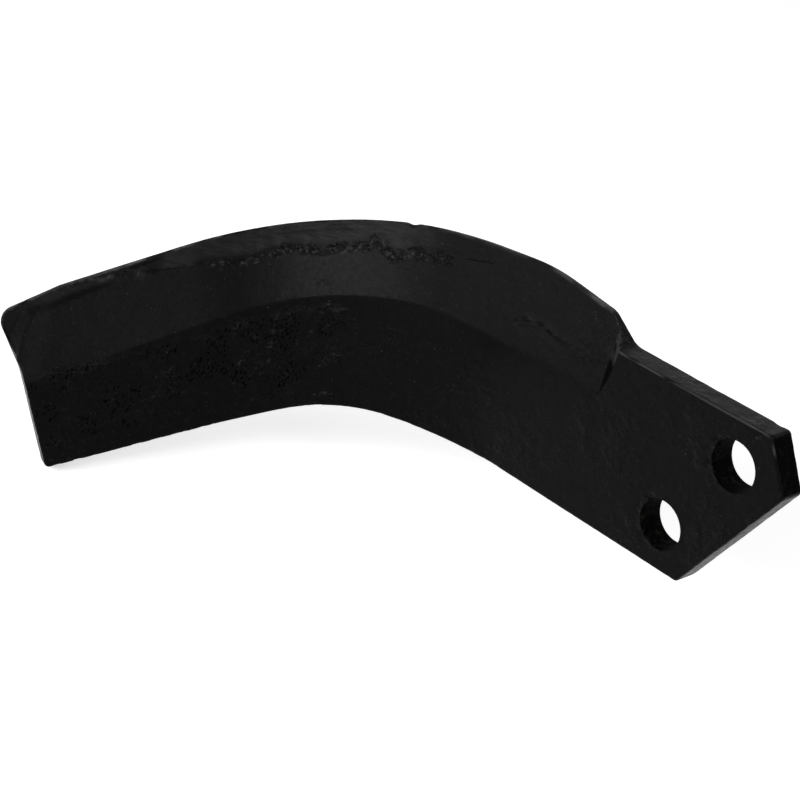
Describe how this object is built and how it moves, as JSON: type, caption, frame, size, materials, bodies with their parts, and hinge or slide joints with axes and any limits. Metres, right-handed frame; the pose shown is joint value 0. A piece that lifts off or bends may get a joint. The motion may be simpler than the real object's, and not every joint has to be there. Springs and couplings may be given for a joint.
{
  "type": "rotary tiller blade",
  "caption": "Forged rotary tiller blade: flat bolted shank, a sideways bend and a swept wing with a bevelled cutting edge.",
  "frame": {"origin": "midway between the two bolt holes, on the flat face that seats on the rotor flange", "axes": "+X along the shank towards its bolted end; +Y out of the flange face, square to it; +Z across the bar towards the cutting edge. The wing bends towards -Y."},
  "size_m": [0.1984, 0.0978, 0.0805],
  "materials": {
    "blade": "thin black satin paint over scaled, pitted forged steel"
  },
  "bodies": {
    "root": {"tiller_blade": "blade"}
  },
  "joints": []
}
